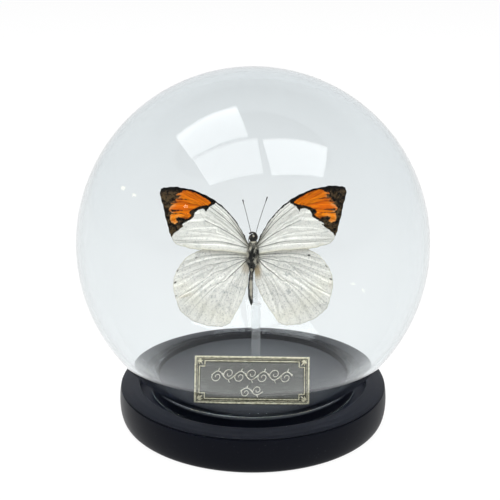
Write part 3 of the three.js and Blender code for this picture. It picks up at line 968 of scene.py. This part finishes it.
def wing_sheet(name, shape, finish):
    """A closed, veined membrane between a wing's upper and lower edges."""
    path = smooth_path(shape["edge"], EDGE_STEPS)
    run = np.arange(len(path)) / EDGE_STEPS
    nicks = np.c_[np.sin(4.1 * run) + np.sin(9.7 * run), np.cos(5.3 * run) + np.sin(11.9 * run)]
    path[EDGE_STEPS:-EDGE_STEPS] += RAGGEDNESS * nicks[EDGE_STEPS:-EDGE_STEPS]
    far = path[:, 0].argmax()
    upper, lower = path[: far + 1].copy(), path[far:][::-1].copy()
    for edge in (upper, lower):
        edge[:, 0] = np.maximum.accumulate(edge[:, 0]) + np.arange(len(edge)) * 1e-6
    near_x, far_x = upper[0, 0], path[far, 0]
    along = np.linspace(0, 1, COLUMNS)
    columns = near_x + (far_x - near_x) * (0.55 * along + 0.45 * np.sin(along * math.pi / 2))
    top = np.interp(columns, upper[:, 0], upper[:, 1])
    bottom = np.interp(columns, lower[:, 0], lower[:, 1])
    share = np.linspace(0, 1, ROWS)[None, :]
    x = np.repeat(columns[:, None], ROWS, axis=1)
    z = bottom[:, None] * (1 - share) + top[:, None] * share
    flat = np.c_[x.ravel(), z.ravel()]
    readings = wing_readings(shape, flat, path)
    middle, half = wing_relief(shape, flat, readings)
    rows = np.vstack([np.c_[flat[:, 0], y, flat[:, 1]] for y in (middle - half, middle + half)])
    grid = np.arange(COLUMNS * ROWS).reshape(COLUMNS, ROWS)
    a, b, c, d = (q.ravel() for q in (grid[:-1, :-1], grid[1:, :-1], grid[1:, 1:], grid[:-1, 1:]))
    behind = COLUMNS * ROWS
    rim = np.r_[grid[:, 0], grid[-1, 1:], grid[-2::-1, -1], grid[0, -2:0:-1]]
    ahead = np.roll(rim, -1)
    faces = [tuple(q) for q in np.vstack([
        np.c_[a, b, c, d], np.c_[d, c, b, a] + behind, np.c_[rim, rim + behind, ahead + behind, ahead],
    ])]
    piece = mesh_object(name, rows, faces, [finish, "wing_underside"])
    sides = np.zeros(len(faces), dtype=np.int32)
    sides[len(a): 2 * len(a)] = 1
    piece.data.polygons.foreach_set("material_index", sides)
    set_readings(piece, **{key: np.concatenate([value, value]) for key, value in readings.items()})
    return smooth(cleaned(piece, 1e-6))


def wing_readings(shape, flat, outline):
    """What the wing's finish needs to know at each point, with lengths in millimetres."""
    x, z = flat.T
    veins = [(level, strength, distance_to(flat, smooth_path(points, 5)))
             for level, strength, points in shape["veins"]]
    near = [(level, 1 / (gap**2 + 1.2) ** 1.5) for level, _, gap in veins if level is not None]
    across = sum(weight * level for level, weight in near) / sum(weight for _, weight in near)
    reach = np.hypot(x - 1.5, z)
    fade = np.interp(reach, [4, 14, 24, 34], [1.1, 0.9, 0.6, 0.42])
    readings = {
        "vein": np.max([strength * np.exp(-(gap / 0.17) ** 2) for _, strength, gap in veins], axis=0) * fade,
        "ray": np.c_[across, reach, np.zeros(len(flat))],
        "rim_gap": distance_to(flat, outline),
        "dusting": 0.35 * np.exp(-((x - 1.6) / 1.8) ** 2),
        "lined": np.interp(reach, [4, 14, 30], [1.0, 0.8, 0.5]),
        "worn": np.ones(len(flat)),
        "black_edge": np.full(len(flat), OUTSIDE),
        "orange_edge": np.full(len(flat), OUTSIDE),
    }
    for name in ("cream", "brown", "blaze_depth", "buff", "mark", "stain"):
        readings[name] = np.zeros(len(flat))
    if shape is FOREWING:
        leading = distance_to(flat, smooth_path(FOREWING["edge"][:9], 8))
        band = np.interp(x, [3, 10, 18, 30], [0.30, 0.45, 0.75, 0.9])
        readings["black_edge"] = np.maximum(depth_inside(flat, DARK_TIP), band - leading)
        readings["brown"] = np.clip(leading / 1.6 - 0.5, 0, 1) * np.clip((x - 28) / 4, 0.35, 1)
        blaze = depth_inside(flat, BLAZE)
        readings["buff"] = np.exp(-(blaze / 0.8) ** 2) * np.clip((x - 29) / 4, 0, 1)
        for wedge in WEDGES:
            blaze = np.minimum(blaze, -depth_inside(flat, wedge))
        readings["orange_edge"] = blaze
        readings["blaze_depth"] = np.clip((z - 20.5) / 5.5, 0, 1)
        smoke = 0.75 * np.exp(-(leading / 2.2) ** 2) * np.clip(1.25 - x / 9, 0, 1)
        readings["dusting"] = np.maximum(readings["dusting"], smoke)
        readings["cream"] = 0.30 * np.exp(-(readings["rim_gap"] / 1.2) ** 2) * (z < 6) * (x < 30)
    else:
        readings["worn"] = np.clip(1.4 - np.hypot((x - 13) / 12, (z + 19) / 14), 0.3, 1)
        readings["lined"] = readings["lined"] * np.interp(reach, [6, 18], [0.8, 0.35])
        cream = np.exp(-(np.abs(reach - 31.5) / 4) ** 2) * np.clip((-9 - z) / 4, 0, 1)
        readings["cream"] = 0.18 * cream + 0.45 * np.exp(-((x - 2.6) / 3) ** 2 - ((z + 0.6) / 1.6) ** 2)
    return readings


def wing_relief(shape, flat, readings):
    """The height of the membrane's middle and its half thickness, swollen along the veins."""
    x, z = flat.T
    away = np.clip((x - 2) / 6, 0, 1)
    layer = shape["layer"]
    middle = layer * away + 0.15 * np.sign(layer) * (1 - away)
    across, reach = readings["ray"][:, :2].T
    open_out = np.clip((reach - 4) / 12, 0, 1)
    pleats = np.sin(across * 2 * math.pi) + 0.45 * np.sin(across * 5.2 * math.pi + 1.3)
    middle = middle + PLEAT_HEIGHT * open_out * pleats - 0.5 * (x / 39) ** 2
    middle = middle + 0.25 * np.sin(reach / 5.5 + across) * open_out**2
    for height, crease in shape["creases"]:
        middle = middle + height * np.exp(-(distance_to(flat, smooth_path(crease, 5)) / 0.4) ** 2)
    return middle, MEMBRANE / 2 + VEIN_RISE * readings["vein"]


# Dark flecks on each hindwing as (centre, radii, turn, strength); the two sides differ a little.
HINDWING_MARKS = {
    "left": [
        ((23.9, -1.3), (0.7, 0.4), 0.1, 0.7), ((31.9, -6.9), (0.9, 0.35), -1.1, 0.8),
        ((33.2, -12.1), (0.9, 0.45), -0.7, 1.0), ((33.0, -17.9), (0.5, 0.4), 0.0, 0.5),
        ((2.7, -4.3), (0.9, 0.5), 0.2, 0.8),
    ],
    "right": [
        ((23.9, -1.3), (0.85, 0.55), 0.0, 1.0), ((31.2, -6.2), (1.2, 0.35), -0.95, 0.7),
        ((33.2, -12.0), (1.0, 0.42), -0.6, 0.9), ((8.4, -21.5), (0.5, 0.4), 0.0, 0.45),
        ((2.4, -4.7), (0.6, 0.6), 0.0, 0.9),
    ],
}
HINDWING_STAINS = {
    "left": [((3.2, -7.0), (2.6, 3.6), 0.0, 0.45), ((29.5, -18.4), (4.5, 0.9), -0.25, 0.30)],
    "right": [((2.9, -8.2), (2.0, 5.0), 0.25, 0.8), ((33.0, -14.5), (1.2, 3.0), 0.0, 0.15)],
}


def add_flecks(piece, side):
    flat = points_of(piece)[:, [0, 2]]
    for name, flecks in (("mark", HINDWING_MARKS[side]), ("stain", HINDWING_STAINS[side])):
        total = np.zeros(len(flat))
        for centre, radii, turn, strength in flecks:
            total = np.maximum(total, strength * spot(flat, centre, radii, turn))
        piece.data.attributes[name].data.foreach_set("value", total.astype(np.float32))


def move_inner_edge(piece, shift):
    """Shifts the edge along the body sideways, fading out at both of its ends."""
    x, y, z = points_of(piece).T
    near = np.clip((9 - x) / 6, 0, 1) * np.interp(z, [-32, -22, -12, -7, -4], [0, 0.7, 1, 0.6, 0])
    piece.data.vertices.foreach_set("co", (np.c_[x + shift * near, y, z] * MM).ravel())


def build_wings():
    for kind, shape in (("forewing", FOREWING), ("hindwing", HINDWING)):
        for side, sign in (("left", -1), ("right", 1)):
            node = f"{kind}_{side}"
            stretch, lift, shift = WING_SET[node]
            wing = wing_sheet(f"{node}_membrane", shape, f"{kind}_scales")
            if kind == "hindwing":
                add_flecks(wing, side)
                move_inner_edge(wing, shift)
            turn = turned_by(-sign * WING_RAISE, "Z") @ turned_by(lift, "Y")
            settle(wing, BUTTERFLY_PLACE @ turn @ Matrix.Diagonal((sign * stretch, 1, 1, 1)))
            dress(wing, f"{kind}_scales", node)


# ---- Butterfly body ----
BODY_PROFILE = [
    (0.05, -24.6), (0.4, -24.0), (0.8, -22.3), (1.05, -19.5), (1.05, -16), (0.92, -12), (0.95, -9.8),
    (1.4, -7.8), (2.2, -5.6), (2.85, -3), (3.0, -0.8), (2.75, 1.6), (2.0, 3.6), (1.35, 4.6), (1.6, 5.3),
    (1.8, 6.2), (1.4, 7.2), (0.05, 7.9),
]


def spine(z):
    """How far the body's middle lies to the side at each height."""
    return np.interp(z, [-24, -20, -14, -12, -9, -5, 0, 5, 8],
                     [-1.05, -1.3, -1.2, -1.0, -0.55, -0.2, 0.2, 0.4, 0.5])


def loft(name, rings, finish, sides=28):
    """A closed skin through elliptical rings, each (x, y, z, half width, half depth)."""
    rows, faces = [], []
    for x, y, z, wide, deep in rings:
        rows += [(x + wide * math.cos(a), y + deep * math.sin(a), z)
                 for a in np.linspace(0, 2 * math.pi, sides, endpoint=False)]
    for low in range(0, len(rows) - sides, sides):
        high = low + sides
        faces += [(low + j, low + (j + 1) % sides, high + (j + 1) % sides, high + j) for j in range(sides)]
    faces += [tuple(range(sides)), tuple(range(len(rows) - sides, len(rows)))]
    return smooth(cleaned(mesh_object(name, rows, faces, [finish])))


def ball(name, centre, radii, finish):
    """An egg-shaped piece from a spun half circle."""
    profile = [(math.sin(a), -math.cos(a)) for a in np.linspace(0, math.pi, 19)]
    return settle(turned(name, profile, 28, finish), moved(*centre) @ Matrix.Diagonal((*radii, 1)))


# Soft patches on the body's back as (centre, radii, turn, tone): dark below 0, pale above. The pale patches
# at (0.5, 7.2) on the head and at (-0.6, -7.9), where the chest meets the abdomen, are painted highlights.
BODY_PATCHES = [
    ((-0.4, 0.3), (0.65, 2.3), -0.56, -2.2), ((-1.0, -1.6), (0.65, 1.3), 0.2, -2.2),
    ((-0.5, -3.0), (0.75, 1.4), 0.35, -2.4), ((0.6, -0.9), (0.9, 1.3), 0.0, -0.3),
    ((1.1, -3.1), (0.4, 1.4), -0.6, 2.2), ((-0.9, 1.9), (0.35, 1.3), -0.5, 1.1),
    ((1.0, 1.2), (0.3, 1.4), -0.4, 1.3), ((-2.3, -0.9), (0.7, 1.5), 0.0, 1.8),
    ((2.8, 0.6), (0.45, 1.9), 0.0, -1.8), ((1.75, 0.6), (0.35, 1.5), 0.1, -1.2),
    ((2.2, -4.3), (0.7, 0.8), 0.0, -2.2), ((-0.6, -5.1), (2.0, 0.6), 0.0, -2.6),
    ((1.2, -4.8), (0.45, 1.2), 0.2, 2.6), ((-0.3, -6.3), (1.2, 1.0), 0.0, -2.4),
    ((-0.6, -7.9), (0.55, 1.0), 0.0, 2.4), ((-1.9, -21.2), (0.7, 2.2), 0.2, -2.0),
    ((-1.1, -23.6), (0.8, 1.2), 0.0, -1.6), ((-1.0, -16.0), (0.7, 4.5), 0.0, 0.8),
    ((0.5, 7.2), (0.4, 0.5), 0.3, 1.6), ((0.35, 4.5), (1.5, 0.4), 0.0, 0.9),
]


# Two coats of hair, as (hairs to a square metre, length, thickness, lean towards the tail, seed).
COATS = ((1.1e7, 0.75, 0.06, 1.0, 4), (2.4e6, 1.4, 0.08, 1.2, 11))


def build_body():
    profile = smooth_path(BODY_PROFILE, 6)
    rings = []
    for radius, z in profile:
        segment = math.sin((z + 23.9) / 15.5 * 7 * math.pi) if z < -8.4 else 0.0
        width = radius * (1 - 0.06 * segment)
        rings.append((spine(z), BODY_BEHIND_WINGS, z, width, min(width, 2.5)))
    skin = loft("skin", rings, "body_skin")
    x, y, z = points_of(skin).T
    chest = np.clip((z + 8.0) / 1.5, 0, 1) * np.clip((4.8 - z) / 0.8, 0, 1)
    tail = np.clip((-8.5 - z) / 1.5, 0, 1)
    tone = 0.2 + 0.24 * chest + 0.25 * tail + 0.2 * tail * np.sin(z * 1.9) * np.sin(z * 0.7 + 1)
    tone -= 0.9 * tail * np.clip((spine(z) - x - 0.35) / 0.3, 0, 1)
    tone -= 0.25 * tail * np.clip((x - spine(z) - 0.7) / 0.3, 0, 1)
    for centre, radii, turn, step in BODY_PATCHES:
        tone = tone + step * spot(np.c_[x, z], centre, radii, turn)
    fur = 0.12 + 0.88 * chest + 0.3 * np.clip((z - 5) / 2, 0, 1)
    fur = fur * np.clip((2.8 - y) / 0.8, 0.08, 1) * np.clip(0.4 + tone, 0.12, 1)
    set_readings(skin, tone=np.clip(tone, 0, 1), fur=np.clip(fur, 0, 1))
    coats = []
    for density, length, thickness, lean, seed in COATS:
        coat = skin.copy()
        coat.data = skin.data.copy()
        scene.collection.objects.link(coat)
        coats.append(run_tree(coat, FUR, {
            "Density": density, "Length": length * MM, "Thickness": thickness * MM,
            "Lean": (0.0, 0.0, -lean), "Seed": seed, "Finish": FINISH["body_hair"],
        }))
    eyes = [ball("eye", (0.45 + side, 0.75, 6.1), (0.9, 1.0, 1.15), "compound_eye") for side in (-1, 1)]
    horny = wires("legs", leg_runs() + PALPS + PROBOSCIS, "horn_black")
    body = join("butterfly_body_skin", [skin, *eyes, horny])
    dress(settle(body, BUTTERFLY_PLACE), "body_fur", "butterfly_body")
    dress(settle(join("butterfly_body_fur", coats), BUTTERFLY_PLACE), "body_fur")


# Two curled palps above the head and a coiled tongue below it, as (points, first and last radius).
PALPS = [
    ([(1.9, 0.3, 6.8), (1.5, -0.1, 7.9), (0.7, -0.3, 8.6), (-0.3, -0.3, 8.75), (-1.3, -0.2, 8.2)], 0.5, 0.3),
    ([(0.2, 0.3, 7.2), (-0.3, -0.2, 7.9), (-0.8, -0.2, 8.2)], 0.34, 0.12),
]
PROBOSCIS = [
    ([(0.45, 2.2, 5.8), (0.45, 2.9, 5.2), (0.45, 2.8, 4.5), (0.45, 2.3, 4.6), (0.45, 2.35, 5.1),
      (0.45, 2.6, 5.0)], 0.07, 0.07),
]


def leg_runs():
    """Six legs folded against the underside of the chest."""
    legs = (
        ((0.7, 3.2, 2.2), (1.7, 3.0, 4.4), (1.0, 3.25, 6.2)),
        ((0.8, 3.3, -1.5), (2.1, 3.0, -3.6), (1.2, 3.2, -6.6)),
        ((0.8, 3.2, -3.8), (1.9, 2.9, -6.6), (1.3, 2.7, -10.4)),
    )
    return [([(sign * x, y, z) for x, y, z in leg], 0.17, 0.07) for sign in (-1, 1) for leg in legs]


def build_antennae():
    """Fine shafts that swell into a slim club at the tip."""
    for side, start, middle, tip in (
        ("left", (-0.25, 0.4, 7.4), (-1.9, -0.4, 15.5), (-3.6, -0.8, 23.0)),
        ("right", (1.3, 0.4, 7.4), (3.7, -0.4, 15.5), (6.6, -0.8, 24.0)),
    ):
        shaft = smooth_path([start, middle, tip], 8)
        club = len(shaft) - 3
        runs = [(shaft[: club + 1], 0.11, 0.12), (shaft[club:], 0.13, 0.26)]
        name = f"antenna_{side}_shaft"
        bulb_radii = (0.26, 0.26, 0.34)
        parts = [wires(name, runs, "horn_black", 8), ball("club_end", shaft[-1], bulb_radii, "horn_black")]
        dress(settle(join(name, parts), BUTTERFLY_PLACE), "horn_black", f"antenna_{side}")


# ---- Studio ----
CAMERA_PLACE = (-0.00129, -0.41127, 0.20237)
CAMERA_PITCH = math.radians(72.83)
FLOOR_REACH = 8.0
PANEL_HEIGHT = 2.28
PANEL_RADIANCE = 5.4
# Ceiling panels as (x, y, turn in degrees, width, depth, share of the power).
SOFT_PANELS = (
    (-0.87, 0.21, 10.5, 1.38, 1.06, 1.0), (-0.585, -0.89, 9.0, 1.51, 1.06, 1.0),
    (1.066, -0.595, 16.0, 1.54, 1.1, 1.25),
)
# Small lamps that glint on the glass, as (place, power).
SMALL_LAMPS = (((-2.32, 0.63, 0.92), 0.45), ((-2.36, 0.11, 1.04), 0.45), ((-1.66, -1.40, 1.45), 0.7))


def stand(name, data, place, rotation=(0.0, 0.0, 0.0)):
    thing = bpy.data.objects.new(name, data)
    thing.location, thing.rotation_euler = place, rotation
    scene.collection.objects.link(thing)
    return thing


def build_room():
    """The room: white near the floor and behind the piece, dimmer overhead and dark over the camera."""
    world = bpy.data.worlds.new("soft_room")
    scene.world = world
    world.use_nodes = True
    g = Graph(world.node_tree)
    heading = g.split(g.add("ShaderNodeTexCoord").outputs["Generated"])
    behind = g.ramp(heading["Z"], 0.45, 0.9, 1.0, 0.55)
    front = g.ramp(heading["Z"], -0.02, 0.16, 1.0, 0.22)
    side = g.ramp(heading["Y"], -0.40, 0.15)
    background = world.node_tree.nodes["Background"].inputs
    g.feed(background["Strength"], g.plus(front, g.times(side, g.minus(behind, front))))
    g.feed(background["Color"], (0.98, 0.99, 1.0))


def build_studio():
    lens = bpy.data.cameras.new("camera")
    lens.sensor_width, lens.lens, lens.clip_start = 36.0, 72.0, 0.01
    scene.camera = stand("camera", lens, CAMERA_PLACE, (CAMERA_PITCH, 0.0, 0.0))
    corners = [(x * FLOOR_REACH, y * FLOOR_REACH, 0) for x, y in ((-1, -1), (1, -1), (1, 1), (-1, 1))]
    mesh_object("floor", corners, [(0, 1, 2, 3)], ["pale_floor"], scale=1.0)
    for x, y, turn, width, depth, share in SOFT_PANELS:
        lamp = bpy.data.lights.new("soft_panel", "AREA")
        lamp.shape, lamp.size, lamp.size_y = "RECTANGLE", width, depth
        lamp.energy = share * PANEL_RADIANCE * math.pi * width * depth
        stand("soft_panel", lamp, (x, y, PANEL_HEIGHT), (0.0, 0.0, math.radians(turn)))
    for place, power in SMALL_LAMPS:
        lamp = bpy.data.lights.new("small_lamp", "POINT")
        lamp.shadow_soft_size, lamp.energy, lamp.color = 0.04, power, (1.0, 0.93, 0.6)
        stand("small_lamp", lamp, place).visible_camera = False
    build_room()
    scene.view_settings.view_transform = "Standard"
    scene.view_settings.look = "None"


build_studio()
build_base()
build_globe()
build_rod()
build_plaque()
build_wings()
build_body()
build_antennae()
